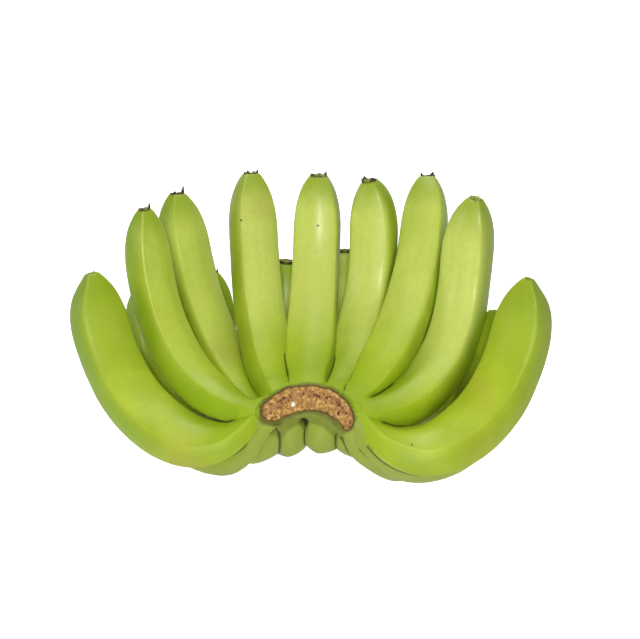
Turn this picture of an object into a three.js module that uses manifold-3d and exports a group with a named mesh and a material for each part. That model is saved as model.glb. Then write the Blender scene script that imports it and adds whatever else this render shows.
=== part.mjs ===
// One hand of sixteen unripe bananas with its cut crown, resting on the backs of its fingers.
// Lengths are in millimetres and angles in degrees, with Z up and the crown's cut face towards -Y.
// The hand is laid out in its own frame first: X across, Y away from the stalk, Z along the stalk,
// with the middle of the cut face near the origin. At the end it is leant back until it rests.
import * as THREE from 'three';
import { mergeVertices } from 'three/addons/utils/BufferGeometryUtils.js';
import Module from 'manifold-3d';

const wasm = await Module();
wasm.setup();

// How the hand rests.
const leanBack = 35;
const gap = 0.3; // left between pieces that touch, so that each stays its own solid

// The crown is a crescent. Its cut face slopes back, and its section is swept along an arc.
const crown = {
  cutSlope: 30, // how far the cut face leans back from upright
  arcRadius: 31.5,
  arcRise: 12.3, // the top of the arc, above the origin along the cut face
  halfAngle: 63,
  stations: 18,
  cutShare: 0.86, // how far the flat cut runs towards the horns
  hornDrop: 5, // how far the horns curve back behind the cut
  hornThinning: 0.35, // how much thinner the crescent is at its two horns
  // outline of the section: [outwards from the arc, in from the cut face]
  section: [
    [-11, 1], [-14, 4], [-16, 10], [-15, 18], [-8, 24], [4, 21], [10, 14], [10, 4], [8, 0], [-8, 0],
  ],
  heart: [-3, 11], // the necks grow out of this line through the section
};

// A finger's section is a pentagon with soft corners, and its girth follows these stations.
const ridgeCount = 5;
const pointsPerRidge = 3;
const ridgeHeight = 0.035; // how far a ridge stands out, as a share of the finger's radius
// Behind its seat the neck bends in towards the heart of the crown, and thins: shares of the radius.
const neck = { length: 10, mostBend: 36, shares: [0.39, 0.32, 0.2], straightBy: 0.25 };
// [share of the length from seat to blossom end, share of the full radius]
const girthAlong = [
  [0, 0.42], [0.06, 0.44], [0.12, 0.58], [0.18, 0.75], [0.25, 0.89], [0.33, 0.97], [0.42, 1],
  [0.51, 1], [0.6, 1], [0.69, 0.99], [0.77, 0.98], [0.83, 0.95], [0.88, 0.88], [0.92, 0.77],
  [0.955, 0.62], [0.98, 0.47], [1, 0.3],
];

// Every finger: its seat on the crown (across, up the cut face, behind it), the way it leaves
// (turned from straight back, climbing), the way its blossom end points, its length and its girth.
// A neck dips by so much at its seat and has come up again by neck.straightBy of the length.
// A climb past 90 leans back over the crown. Spin turns the ridges about the finger.
const frontRow = [
  { seat: [-34.5, -2, 0], leaves: [-90, -13], dip: 59, ends: [-20, 85], length: 185, girth: 37, spin: -8 },
  { seat: [-33, 2, 8], leaves: [-60, -1], dip: 0, ends: [-16, 93], length: 176, girth: 32, spin: -14 },
  { seat: [-23, 2, 16], leaves: [-36, 2], dip: 18, ends: [-27, 84], length: 199, girth: 37, spin: -12 },
  { seat: [-15, 6, 10], leaves: [-18, 10], dip: 0, ends: [-4, 82], length: 186, girth: 34.5, spin: -10 },
  { seat: [-1, 10, 11], leaves: [2, 5], dip: -8, ends: [7, 91], length: 178, girth: 34, spin: 0 },
  { seat: [14, 13, 18], leaves: [21, -3], dip: -8, ends: [20, 118], length: 176, girth: 32.5, spin: 10 },
  { seat: [23, 4, 12], leaves: [44, 18], dip: -6, ends: [6, 69], length: 186, girth: 34.5, spin: 12 },
  { seat: [30, 3, 8], leaves: [67, -10], dip: 0, ends: [-5, 109], length: 193, girth: 35, spin: 14 },
  { seat: [33.5, -4, 0], leaves: [103, -13], dip: 61, ends: [13, 90], length: 186, girth: 37, spin: 8 },
];
const backRow = [
  { seat: [-34, -10, 13], leaves: [-66, -28], dip: 45, ends: [-5, 90], length: 194, girth: 35.5, spin: 6 },
  { seat: [-22, -9, 20], leaves: [-39, -28], dip: 39, ends: [-1, 84], length: 196, girth: 34.5, spin: 12 },
  { seat: [-11, -7, 20], leaves: [-13, -23], dip: 41, ends: [11, 87], length: 185, girth: 35.5, spin: -6 },
  { seat: [8, -8, 16], leaves: [4, -17], dip: 38, ends: [12, 75], length: 197, girth: 36, spin: 4 },
  { seat: [22, -9, 20], leaves: [29, -27], dip: 33, ends: [8, 90], length: 199, girth: 35, spin: -10 },
  { seat: [31, -11, 18], leaves: [64, -42], dip: 29, ends: [-15, 103], length: 209, girth: 35.5, spin: 0 },
  { seat: [38, -7, 8], leaves: [93, -32], dip: 30, ends: [-6, 83], length: 172, girth: 36, spin: 8 },
];

// The dried rest of the flower is a short, ragged cup on the finger's blunt end.
const blossom = {
  radius: 5, // at its foot, on a finger of standard girth
  standardGirth: 36,
  height: 2.4,
  dish: 1.2,
  raggedness: 0.08,
  sides: 12,
};

const skin = new THREE.MeshStandardMaterial({ name: 'green_skin', color: 0x9cb92f, roughness: 0.45 });
const cushion = new THREE.MeshStandardMaterial({ name: 'crown_cut', color: 0xa9784f, roughness: 0.85 });
const dried = new THREE.MeshStandardMaterial({ name: 'dried_blossom', color: 0x3a2a1d, roughness: 0.9 });

const rad = THREE.MathUtils.degToRad;

// The cut face's own axes, in the hand's frame.
const slope = rad(crown.cutSlope);
const acrossCut = new THREE.Vector3(1, 0, 0);
const upCut = new THREE.Vector3(0, Math.sin(slope), Math.cos(slope));
const intoCut = new THREE.Vector3(0, Math.cos(slope), -Math.sin(slope));

function onCut(across, up, into) {
  const point = acrossCut.clone().multiplyScalar(across);
  point.addScaledVector(upCut, up);
  return point.addScaledVector(intoCut, into);
}

function heading(turn, climb) {
  const level = Math.cos(climb);
  return new THREE.Vector3(Math.sin(turn) * level, Math.cos(turn) * level, Math.sin(climb));
}

// Closes a stack of equal rings of points into one solid, with a fan over each end.
function skinOver(rings) {
  const sides = rings[0].length;
  const positions = rings.flat().flatMap((point) => point.toArray());
  const faces = [];
  for (let ring = 0; ring + 1 < rings.length; ring += 1) {
    for (let side = 0; side < sides; side += 1) {
      const here = ring * sides + side;
      const next = ring * sides + ((side + 1) % sides);
      faces.push(here, next, next + sides, here, next + sides, here + sides);
    }
  }
  for (const end of [0, rings.length - 1]) {
    const centre = new THREE.Vector3();
    rings[end].forEach((point) => centre.add(point));
    positions.push(...centre.divideScalar(sides).toArray());
    const hub = positions.length / 3 - 1;
    for (let side = 0; side < sides; side += 1) {
      const here = end * sides + side;
      const next = end * sides + ((side + 1) % sides);
      faces.push(hub, end === 0 ? next : here, end === 0 ? here : next);
    }
  }
  const geometry = new THREE.BufferGeometry();
  geometry.setAttribute('position', new THREE.Float32BufferAttribute(positions, 3));
  geometry.setIndex(faces);
  return geometry;
}

function toSolid(geometry) {
  const welded = mergeVertices(geometry, 1e-4);
  const vertProperties = new Float32Array(welded.attributes.position.array);
  const triVerts = new Uint32Array(welded.index.array);
  return new wasm.Manifold(new wasm.Mesh({ numProp: 3, vertProperties, triVerts }));
}

function toGeometry(solid) {
  const mesh = solid.getMesh();
  const geometry = new THREE.BufferGeometry();
  geometry.setAttribute('position', new THREE.Float32BufferAttribute(mesh.vertProperties, 3));
  geometry.setIndex(Array.from(mesh.triVerts));
  return geometry;
}

// Keeps the largest of the pieces that a cut may leave.
function largestPart(solid) {
  const parts = solid.decompose();
  return parts.reduce((best, part) => (part.volume() > best.volume() ? part : best));
}

function onArc(angle, out, into) {
  const radius = crown.arcRadius + out;
  return onCut(radius * Math.sin(angle), radius * Math.cos(angle) - crown.arcRadius + crown.arcRise, into);
}

function crownRing(angle, share, drop, grow) {
  const [heartOut, heartInto] = crown.heart;
  return crown.section.map(([out, into]) => {
    const spot = new THREE.Vector2(out - heartOut, into - heartInto);
    const size = share + grow / spot.length();
    // the cut face stays flat where the crescent thins towards its horns
    const depth = into === 0 ? -grow : heartInto * share + spot.y * size;
    return onArc(angle, heartOut + spot.x * size, depth + drop);
  });
}

function crownSolid(grow) {
  const rings = [];
  const reach = rad(crown.halfAngle) + grow / crown.arcRadius;
  for (let station = 0; station <= crown.stations; station += 1) {
    const along = -Math.cos((Math.PI * station) / crown.stations);
    const share = 1 - crown.hornThinning * Math.abs(along) ** 3;
    const flatReach = crown.cutShare * rad(crown.halfAngle);
    const pastCut = Math.max(0, Math.abs(reach * along) - flatReach) / (rad(crown.halfAngle) - flatReach);
    rings.push(crownRing(reach * along, share, crown.hornDrop * pastCut ** 2, grow));
  }
  return toSolid(skinOver(rings));
}

// The centreline turns evenly from the way the finger leaves to the way its blossom end points.
function centreline(finger) {
  const steps = 96;
  const [turn, climb] = finger.leaves.map(rad);
  const [lastTurn, lastClimb] = finger.ends.map(rad);
  const points = [onCut(...finger.seat)];
  const headings = [];
  for (let step = 0; step <= steps; step += 1) {
    const share = THREE.MathUtils.clamp((step / steps - 0.04) / 0.94, 0, 1);
    const lerp = THREE.MathUtils.lerp;
    const dip = rad(finger.dip) * Math.max(0, 1 - step / steps / neck.straightBy) ** 1.5;
    headings.push(heading(lerp(turn, lastTurn, share), lerp(climb, lastClimb, share) - dip));
    if (step > 0) {
      const stride = headings[step - 1].clone().add(headings[step]).setLength(finger.length / steps);
      points.push(points[step - 1].clone().add(stride));
    }
  }
  const line = { steps, points, headings };
  line.inner = findInner(line);
  return line;
}

// Carries a sideways direction along the centreline without twisting it, from the crown outwards.
function carryAlong(line) {
  const sideways = [];
  let inner = new THREE.Vector3(0, 0, 1);
  for (const forward of line.headings) {
    inner = inner.clone().addScaledVector(forward, -inner.dot(forward)).normalize();
    sideways.push(inner);
  }
  return sideways;
}

// Turns the carried directions so that, half way along, they point to the inside of the finger's bend.
function findInner(line) {
  const carried = carryAlong(line);
  const half = line.steps / 2;
  const forward = line.headings[half];
  const inside = line.headings[half + 6].clone().sub(line.headings[half - 6]);
  inside.addScaledVector(forward, -inside.dot(forward)).normalize();
  const over = new THREE.Vector3().crossVectors(forward, carried[half]);
  const turn = Math.atan2(inside.dot(over), inside.dot(carried[half]));
  return carried.map((inner, step) => inner.clone().applyAxisAngle(line.headings[step], turn));
}

function frameAt(line, share) {
  const step = Math.round(share * line.steps);
  const forward = line.headings[step];
  const inner = line.inner[step];
  return { point: line.points[step], forward, inner, side: new THREE.Vector3().crossVectors(forward, inner) };
}

function ringAbout(finger, { point, inner, side }, share, grow) {
  const count = ridgeCount * pointsPerRidge;
  const radius = (finger.girth / 2) * share;
  const ring = [];
  for (let index = 0; index < count; index += 1) {
    const angle = (2 * Math.PI * index) / count;
    const ridge = Math.cos(ridgeCount * angle) * ridgeHeight * Math.min(1, share * 1.1);
    const reach = radius * (1 + ridge) + grow;
    const turned = angle + rad(finger.spin + 180);
    const spot = point.clone().addScaledVector(inner, reach * Math.cos(turned));
    ring.push(spot.addScaledVector(side, reach * Math.sin(turned)));
  }
  return ring;
}

// The middle of the crown nearest to a finger's seat.
function heartNear([across, up]) {
  const reach = rad(crown.halfAngle) * crown.cutShare;
  const angle = Math.atan2(across, up + crown.arcRadius - crown.arcRise);
  return onArc(THREE.MathUtils.clamp(angle, -reach, reach), ...crown.heart);
}

function neckRings(finger, line, grow) {
  const leaving = line.headings[0];
  const outwards = line.points[0].clone().sub(heartNear(finger.seat)).normalize();
  const axis = new THREE.Vector3().crossVectors(leaving, outwards).normalize();
  const bend = Math.min(leaving.angleTo(outwards), rad(neck.mostBend)) / neck.shares.length;
  const point = line.points[0].clone();
  const rings = neck.shares.map((share, step) => {
    point.addScaledVector(leaving.clone().applyAxisAngle(axis, bend * (step + 0.5)), -neck.length / 3);
    const inner = line.inner[0].clone().applyAxisAngle(axis, bend * (step + 1));
    const forward = leaving.clone().applyAxisAngle(axis, bend * (step + 1));
    const side = new THREE.Vector3().crossVectors(forward, inner);
    return ringAbout(finger, { point, inner, side }, share, grow);
  });
  return rings.reverse();
}

function fingerSolid(finger, grow) {
  const line = centreline(finger);
  const rings = neckRings(finger, line, grow);
  for (const [along, share] of girthAlong) {
    rings.push(ringAbout(finger, frameAt(line, along), share, grow));
  }
  if (grow > 0) {
    rings.at(-1).forEach((point) => point.addScaledVector(line.headings.at(-1), grow));
  }
  return toSolid(skinOver(rings));
}

function blossomSolid(finger) {
  const line = centreline(finger);
  const { point, forward, inner, side } = frameAt(line, 1);
  const scale = finger.girth / blossom.standardGirth;
  // [share of the radius, height]: up the outside, over the rim and down into the dish
  const outline = [
    [0.94, gap], [1.06, blossom.height * 0.5], [1.1, blossom.height],
    [0.7, blossom.height * 0.9], [0.25, blossom.height - blossom.dish],
  ];
  const rings = outline.map(([share, height], level) => {
    const ring = [];
    for (let index = 0; index < blossom.sides; index += 1) {
      const angle = (2 * Math.PI * index) / blossom.sides;
      const ragged = blossom.raggedness * Math.sin(3 * angle + finger.spin) * Math.min(level, 2) * 0.5;
      const reach = blossom.radius * scale * share * (1 + ragged * 0.5);
      const rise = height * (1 + (level > 0 && level < 4 ? 2.5 * ragged : 0));
      const spot = point.clone().addScaledVector(forward, rise);
      spot.addScaledVector(inner, reach * Math.cos(angle));
      ring.push(spot.addScaledVector(side, reach * Math.sin(angle)));
    }
    return ring;
  });
  return toSolid(skinOver(rings));
}

const hand = new THREE.Group();
hand.name = 'banana_hand';
const laid = new THREE.Group();
laid.rotation.x = -rad(leanBack);
hand.add(laid);

function place(name, solid, material) {
  const mesh = new THREE.Mesh(toGeometry(solid), material);
  mesh.name = name;
  laid.add(mesh);
}

// From both ends of a row towards its middle: the outer fingers lie over the inner ones.
function outerFirst(row, word) {
  const labelled = row.map((finger, index) => ({ ...finger, label: `${word}_${index + 1}` }));
  const middle = (row.length - 1) / 2;
  const fromMiddle = (finger) => Math.abs(labelled.indexOf(finger) - middle);
  return [...labelled].sort((a, b) => fromMiddle(b) - fromMiddle(a));
}

// The crown is whole. Each finger gives way to the crown and to the fingers laid before it.
place('crown', crownSolid(0), cushion);
const taken = [crownSolid(gap)];
for (const finger of [...outerFirst(frontRow, 'front'), ...outerFirst(backRow, 'back')]) {
  let solid = fingerSolid(finger, 0);
  for (const neighbour of taken) {
    solid = solid.subtract(neighbour);
  }
  place(`banana_${finger.label}`, largestPart(solid), skin);
  place(`blossom_end_${finger.label}`, blossomSolid(finger), dried);
  taken.push(fingerSolid(finger, gap));
}

// The origin is on the floor, under the middle of the hand.
hand.updateMatrixWorld(true);
const box = new THREE.Box3().setFromObject(hand, true);
const middle = box.getCenter(new THREE.Vector3());
laid.position.set(-middle.x, -middle.y, -box.min.z);
hand.updateMatrixWorld(true);

export default hand;
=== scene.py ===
import math
import random

import bmesh
import bpy
import numpy as np
from mathutils import Matrix, Vector, kdtree, noise
from mathutils.bvhtree import BVHTree


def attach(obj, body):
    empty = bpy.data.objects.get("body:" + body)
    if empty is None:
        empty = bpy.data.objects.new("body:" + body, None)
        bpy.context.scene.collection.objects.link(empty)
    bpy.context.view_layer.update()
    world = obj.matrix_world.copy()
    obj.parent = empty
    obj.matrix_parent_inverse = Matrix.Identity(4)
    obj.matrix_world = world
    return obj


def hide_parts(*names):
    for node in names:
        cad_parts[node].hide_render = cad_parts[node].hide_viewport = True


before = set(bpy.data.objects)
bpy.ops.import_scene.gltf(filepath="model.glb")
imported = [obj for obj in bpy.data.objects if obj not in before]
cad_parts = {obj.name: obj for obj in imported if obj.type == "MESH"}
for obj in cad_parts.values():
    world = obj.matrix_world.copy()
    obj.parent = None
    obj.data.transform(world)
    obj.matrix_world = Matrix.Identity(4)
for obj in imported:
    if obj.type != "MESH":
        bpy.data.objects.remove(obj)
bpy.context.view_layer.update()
mm = 0.001
labels = sorted(name[len("banana_"):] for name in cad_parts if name.startswith("banana_"))
print("frame loaded:", len(labels), "fingers")


# small helpers for work on one piece at a time

def deselectAll():
    if bpy.context.object and bpy.context.object.mode != "OBJECT":
        bpy.ops.object.mode_set(mode="OBJECT")
    bpy.ops.object.select_all(action="DESELECT")


def workOn(piece):
    deselectAll()
    piece.select_set(True)
    bpy.context.view_layer.objects.active = piece


def editing(piece):
    if piece.mode != "EDIT":
        workOn(piece)
        bpy.ops.object.mode_set(mode="EDIT")
    edited = bmesh.from_edit_mesh(piece.data)
    edited.verts.ensure_lookup_table()
    edited.verts.index_update()
    return edited


def pick(piece, kind, wanted):
    edited = editing(piece)
    bpy.ops.mesh.select_mode(type=kind)
    bpy.ops.mesh.select_all(action="DESELECT")
    for part in edited.verts if kind == "VERT" else edited.edges:
        part.select = bool(wanted(part))
    edited.select_flush_mode()
    bmesh.update_edit_mesh(piece.data)


def editAll(piece):
    workOn(piece)
    bpy.ops.object.mode_set(mode="EDIT")
    bpy.ops.mesh.select_all(action="SELECT")


def extrudeRing(move, scale, centre):
    bpy.ops.mesh.extrude_region_move(TRANSFORM_OT_translate={"value": move})
    bpy.ops.transform.resize(value=[scale] * 3, center_override=centre)


def settle(piece):
    # the piece's place goes into its mesh, and its faces point outwards
    editAll(piece)
    bpy.ops.mesh.normals_make_consistent(inside=False)
    bpy.ops.object.mode_set(mode="OBJECT")
    bpy.ops.object.transform_apply(location=True, rotation=True, scale=True)


def applyModifier(piece, kind, **settings):
    workOn(piece)
    modifier = piece.modifiers.new(kind.title(), kind)
    for name, value in settings.items():
        setattr(modifier, name, value)
    bpy.ops.object.modifier_apply(modifier=modifier.name)


def verticesOf(piece, kind="co"):
    values = np.zeros(len(piece.data.vertices) * 3)
    piece.data.vertices.foreach_get(kind, values)
    return values.reshape(-1, 3)


def moveVertices(piece, places):
    piece.data.vertices.foreach_set("co", np.ascontiguousarray(places, np.float32).ravel())
    piece.data.update()


def store(piece, name, *columns):
    # up to three numbers for every vertex, for the materials to read
    values = np.zeros((len(piece.data.vertices), 3), np.float32)
    for index, column in enumerate(columns):
        values[:, index] = column
    layer = piece.data.attributes.new(name, "FLOAT_VECTOR", "POINT")
    layer.data.foreach_set("vector", values.ravel())


def smoothStep(values, low, high):
    share = np.clip((values - low) / (high - low), 0, 1)
    return share * share * (3 - 2 * share)


# the crown's cut face, read from the frame: a crescent on a sloping plane

crownReading = {
    "agree": 0.999,  # a face belongs to the cut when its normal agrees this well with the cut's
    "bow": 0.6,  # only this share of the crescent's breadth is used to find its arcs
    "drops": (0.5, 2, 0.01),  # from, to and step: how far under its top their middle may be, in half breadths
}


def readCrown():
    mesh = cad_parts["crown"].data
    areas = {}
    for face in mesh.polygons:
        key = tuple(round(part, 2) for part in face.normal)
        areas[key] = areas.get(key, 0) + face.area
    normal = Vector(max(areas, key=areas.get)).normalized()
    cutFaces = [face for face in mesh.polygons if face.normal.dot(normal) > crownReading["agree"]]
    flat = {index for face in cutFaces for index in face.vertices}
    across = Vector((1, 0, 0))
    up = normal.cross(across)
    origin = mesh.vertices[min(flat)].co.copy()
    spots = np.array([[(mesh.vertices[i].co - origin).dot(axis) for axis in (across, up)] for i in flat])
    # its outer and inner edges are arcs about one middle: the middle that leaves the least spread
    halfSpan = np.ptp(spots[:, 0]) / 2
    centre = spots[:, 0].min() + halfSpan
    bow = spots[abs(spots[:, 0] - centre) < crownReading["bow"] * halfSpan]
    fits = []
    for drop in np.arange(*crownReading["drops"]) * halfSpan:
        middle = np.array([centre, bow[:, 1].max() - drop])
        reach = np.linalg.norm(bow - middle, axis=1)
        outer = reach > (reach.max() + reach.min()) / 2
        spread = reach[outer].std() + reach[~outer].std()
        fits.append((spread, *middle, reach[outer].mean(), reach[~outer].mean()))
    *middle, outerEdge, innerEdge = min(fits)[1:]
    turns = np.arctan2(spots[:, 0] - middle[0], spots[:, 1] - middle[1])
    return {
        "middle": origin + across * middle[0] + up * middle[1],
        "across": across, "up": up, "into": -normal,
        "radius": (outerEdge + innerEdge) / 2, "halfWidth": (outerEdge - innerEdge) / 2,
        "hornTurn": float(abs(turns).max()),
    }


def fromMiddle(places, *names):
    # how far the places are from the middle of the crescent's arcs, along the named directions
    offset = places - np.array(plan["middle"])
    return [offset @ np.array(plan[name]) for name in names]


plan = readCrown()
print("crown read: crescent radius", round(plan["radius"] / mm, 1), "mm")


# each finger's middle line, followed through the frame from its blossom end to the crown

follow = {
    "start": 12 * mm,  # the first look is this far from the blossom end
    "step": 4 * mm,
    "looks": 70,
    "near": 30 * mm,  # how far round the middle a section is looked for
    "rounds": 6,  # a circle is fitted so many times, each time without the points that are off it
    "trust": 0.12,  # points further off the circle than this share are pressed flat by a neighbour
    "slack": 0.3 * mm,
    "fewest": 8,
    "arcGap": 0.6,  # a wider gap between two points, as an angle, is no arc
    "drift": 3 * mm,  # a circle that jumps further than this is no longer the finger's
    "leastArc": 0.45,
    "steady": 0.4,  # how much of the last heading the next one keeps
    "heartIn": 3 * mm,  # the heart of the crown, where all the necks end: in from the arc
    "heartDeep": 11 * mm,  # and behind the cut
    "heartTurn": 0.8,  # never nearer to the horns than this share of their turn
    "heartNear": 14 * mm,  # the looks stop this far from it
    "bends": 7,  # order of the smooth line through the looks
    "fullGirth": 90,  # this percentile of its radii is a finger's full one
    "broadAt": 0.45,  # the bend is looked at here, as a share of the line, over so many mm each way
    "broadSpan": 12,
    "swell": (75 * mm, 30 * mm),  # a neck swells between here and here from the heart
    "leanFrom": 60 * mm,  # a tip's lean starts this far from the blossom end
    "liftFrom": (85 * mm, 45 * mm),  # and is lifted between here
    "liftTo": (4 * mm, 22 * mm),  # and here
    "behindCut": 1 * mm,  # necks stay this far behind the cut face
    "sink": (52 * mm, 22 * mm),
}


def cadShape(node):
    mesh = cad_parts[node].data
    points = np.array([vertex.co for vertex in mesh.vertices])
    return points, np.array([edge.vertices for edge in mesh.edges])


def sectionOf(shape, centre, heading):
    # where the plane through centre, square to heading, meets the shape's edges
    points, edges = shape
    height = (points - centre) @ heading
    low, high = height[edges[:, 0]], height[edges[:, 1]]
    cut = (low < 0) != (high < 0)
    share = (low[cut] / (low[cut] - high[cut]))[:, None]
    ring = points[edges[cut, 0]] * (1 - share) + points[edges[cut, 1]] * share
    return ring[np.linalg.norm(ring - centre, axis=1) < follow["near"]]


def unit(vector):
    return vector / np.linalg.norm(vector)


def squareTo(heading):
    over = unit(np.cross(heading, (0, 0, 1.0)))
    return over, np.cross(over, heading)


def circleThrough(spots, radius):
    centre = np.zeros(2)
    for turn in range(follow["rounds"]):
        off = abs(np.linalg.norm(spots - centre, axis=1) - radius)
        kept = spots[off < follow["trust"] * radius + follow["slack"]]
        if len(kept) < follow["fewest"]:
            return None
        table = np.c_[2 * kept, np.ones(len(kept))]
        answer = np.linalg.lstsq(table, (kept ** 2).sum(1), rcond=None)[0]
        centre = answer[:2]
        radius = math.sqrt(answer[2] + centre @ centre)
    angles = np.sort(np.arctan2(*(kept - centre).T))
    gaps = np.diff(np.r_[angles, angles[0] + 2 * math.pi])
    return centre, radius, gaps[gaps < follow["arcGap"]].sum() / (2 * math.pi)


def heartNear(spot):
    offset = Vector(spot) - plan["middle"]
    turn = math.atan2(offset.dot(plan["across"]), offset.dot(plan["up"]))
    most = follow["heartTurn"] * plan["hornTurn"]
    turn = max(-most, min(most, turn))
    outwards = plan["across"] * math.sin(turn) + plan["up"] * math.cos(turn)
    reach = plan["radius"] - follow["heartIn"]
    return np.array(plan["middle"] + outwards * reach + plan["into"] * follow["heartDeep"])


def lookAlong(shape, cup):
    # the middles and radii of the sections, one step after another
    foot = cup.mean(0)
    heading = np.linalg.svd(cup - foot, full_matrices=False)[2][2]
    body = shape[0][np.linalg.norm(shape[0] - foot, axis=1) < follow["near"]]
    heading = heading * np.sign((body.mean(0) - foot) @ heading)
    foot = foot + heading * ((cup - foot) @ heading).max()
    spots, radii = [foot], [0]
    spot, radius = foot + heading * follow["start"], None
    for look in range(follow["looks"]):
        ring = sectionOf(shape, spot, heading)
        over, up = squareTo(heading)
        flat = np.c_[(ring - spot) @ over, (ring - spot) @ up]
        if radius is None:
            radius = np.median(np.linalg.norm(flat, axis=1))
        found = circleThrough(flat, radius) if len(flat) > follow["fewest"] else None
        if found is None:
            break
        centre, fitted, arc = found
        jumped = max(np.linalg.norm(centre), abs(fitted - radius)) > follow["drift"]
        if look > 0 and (jumped or arc < follow["leastArc"]):
            break
        spot = spot + over * centre[0] + up * centre[1]
        if np.linalg.norm(heartNear(spot) - spot) < follow["heartNear"]:
            break
        radius = fitted
        spots.append(spot)
        radii.append(radius)
        ahead = unit(spots[-1] - spots[max(-3, -len(spots))])
        heading = unit(heading * follow["steady"] + (1 - follow["steady"]) * ahead)
        spot = spot + heading * follow["step"]
    return np.array(spots), np.array(radii)


def carried(headings):
    # a sideways direction taken along the line without twisting
    flanks = [squareTo(headings[0])[0]]
    for heading in headings[1:]:
        flanks.append(unit(flanks[-1] - heading * (flanks[-1] @ heading)))
    return np.array(flanks)


# each finger's turn about its own line, in degrees; how pale its peel, partly its own tint and partly a
# painted highlight on its broad side, and how clear its ridge lines are; the width of its blunt end, as a
# share of its girth; how many mm its neck swells; and how its flower dried
lookNames = ("turn", "pale", "ridge", "end", "neck", "dried")
fingerTable = {
    "front_1": (40, 0.1, 0.5, 0.19, 0, "scar"),
    "front_2": (-2, 0.35, 1, 0.26, 3, "spike"),
    "front_3": (-14, 0.6, 0.3, 0.28, 1, "spike"),
    "front_4": (-15, 0.95, 0.8, 0.3, 2.5, "corners"),
    "front_5": (5, 0.9, 0.5, 0.35, 4, "ragged"),
    "front_6": (5, 0.95, 0.2, 0.3, 2.5, "torn"),
    "front_7": (-22, 0.7, 0.5, 0.32, 1.5, "corners"),
    "front_8": (-12, 1, 0.5, 0.25, 3.5, "scar"),
    "front_9": (-38, 0, 0.6, 0.15, 1, "scar"),
    "back_1": (12, 0, 0.2, 0.3, 1.5, "ragged"),
    "back_2": (-8, 0, 0.2, 0.3, 1.5, "corners"),
    "back_3": (6, 0.8, 0.1, 0.33, 4, "stub"),
    "back_4": (-5, 0.8, 0.1, 0.33, 4, "stub"),
    "back_5": (9, 0, 0.2, 0.3, 1.5, "spike"),
    "back_6": (-14, 0, 0.2, 0.3, 2, "ragged"),
    "back_7": (-10, 0.1, 0.2, 0.12, 3.5, "scar"),
}
# twist: how many degrees more it turns towards its neck; stout: how much stouter it is than the frame's; lean
# and lift: how many mm its tip leans and its neck is lifted from the frame's; then how much painted shade, a
# darker, fuller green, its left side gets; mark: a brown mark, in mm from the blossom end, degrees from the
# broad side, and mm in size
usual = {"twist": 0, "stout": 1, "lean": (0, 0, 0), "lift": (0, 0, 0), "lush": 0, "mark": (-100, 0, 1)}
special = {
    "front_1": {"lush": 0.45, "lift": (0, 3, 2)},
    "front_2": {"lush": 0.35, "stout": 0.96, "lean": (1, 1.5, 0)},
    "front_4": {"mark": (34, -55, 1.1)},
    "front_5": {"mark": (35, 9, 1.1), "stout": 1.08},
    "front_6": {"stout": 1.07, "lean": (-1, 8, -5)},
    "front_8": {"lean": (1, 3, 0)},
    "front_9": {"twist": 34, "mark": (150, 45, 1), "lift": (1, 4.5, 3)},
    "back_4": {"mark": (40, 8, 2.4)},
    "back_6": {"stout": 1.06},
    "back_7": {"stout": 1.1},
}
fingerLooks = {
    label: {**dict(zip(lookNames, row)), **usual, **special.get(label, {})}
    for label, row in fingerTable.items()
}


def faceInwards(line, label):
    # the carried direction is turned to the inside of the bend, where a finger's broad side is
    flanks = carried(line["headings"])
    headings, span = line["headings"], follow["broadSpan"]
    middle = int(len(flanks) * follow["broadAt"])
    heading, flank = headings[middle], flanks[middle]
    inner = headings[middle + span] - headings[middle - span]
    start = math.atan2(inner @ np.cross(heading, flank), inner @ flank)
    turn, twist = (math.radians(fingerLooks[label][name]) for name in ("turn", "twist"))
    share = np.arange(len(flanks)) / len(flanks) - follow["broadAt"]
    angles = (start + turn + twist * share)[:, None]
    over = np.cross(headings, flanks)
    return flanks * np.cos(angles) + over * np.sin(angles)


def sinkNeck(line):
    # near the crown a neck stays behind the cut face
    depth = fromMiddle(line["spots"], "into")[0]
    fromHeart = line["length"] - np.arange(len(line["spots"])) * mm
    short = np.maximum(0, line["radii"] + follow["behindCut"] - depth) * smoothStep(fromHeart, *follow["sink"])
    line["spots"] = line["spots"] + short[:, None] * np.array(plan["into"])
    slopes = np.gradient(line["spots"], axis=0)
    line["headings"] = slopes / np.linalg.norm(slopes, axis=1)[:, None]


def followFinger(label):
    spots, radii = lookAlong(cadShape("banana_" + label), cadShape("blossom_end_" + label)[0])
    spots = np.vstack([spots, heartNear(spots[-1])])
    distances = np.r_[0, np.linalg.norm(np.diff(spots, axis=0), axis=1).cumsum()]
    fits = [np.polynomial.Polynomial.fit(distances, spots[:, axis], follow["bends"]) for axis in range(3)]
    looks = fingerLooks[label]
    along = np.arange(0, distances[-1], mm)
    back = distances[-1] - along
    swell = smoothStep(back, *follow["swell"])
    lean = np.clip(1 - along / follow["leanFrom"], 0, 1)[:, None] ** 2 * looks["lean"] * mm
    lifted = (smoothStep(back, *follow["liftFrom"]) * smoothStep(back, *follow["liftTo"]))[:, None]
    line = {
        "length": distances[-1],
        "spots": np.array([fit(along) for fit in fits]).T + lean + lifted * looks["lift"] * mm,
        "radii": np.interp(along, distances[1:-1], radii[1:]) * looks["stout"] + looks["neck"] * mm * swell,
        "girth": np.percentile(radii, follow["fullGirth"]) * 2 * looks["stout"],
    }
    sinkNeck(line)
    line["broads"] = faceInwards(line, label)
    line["flanks"] = np.cross(line["broads"], line["headings"])
    return line


def stepAt(line, distance):
    return min(max(int(round(distance / mm)), 0), len(line["spots"]) - 1)


def placeOn(line, distance):
    # a spot on the line and its axes: flank, broad side and heading as the columns
    index = stepAt(line, distance)
    spot = line["spots"][index] + line["headings"][index] * (distance - index * mm)
    axes = Matrix([line[name][index] for name in ("flanks", "broads", "headings")]).transposed()
    return Vector(spot), axes


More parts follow.
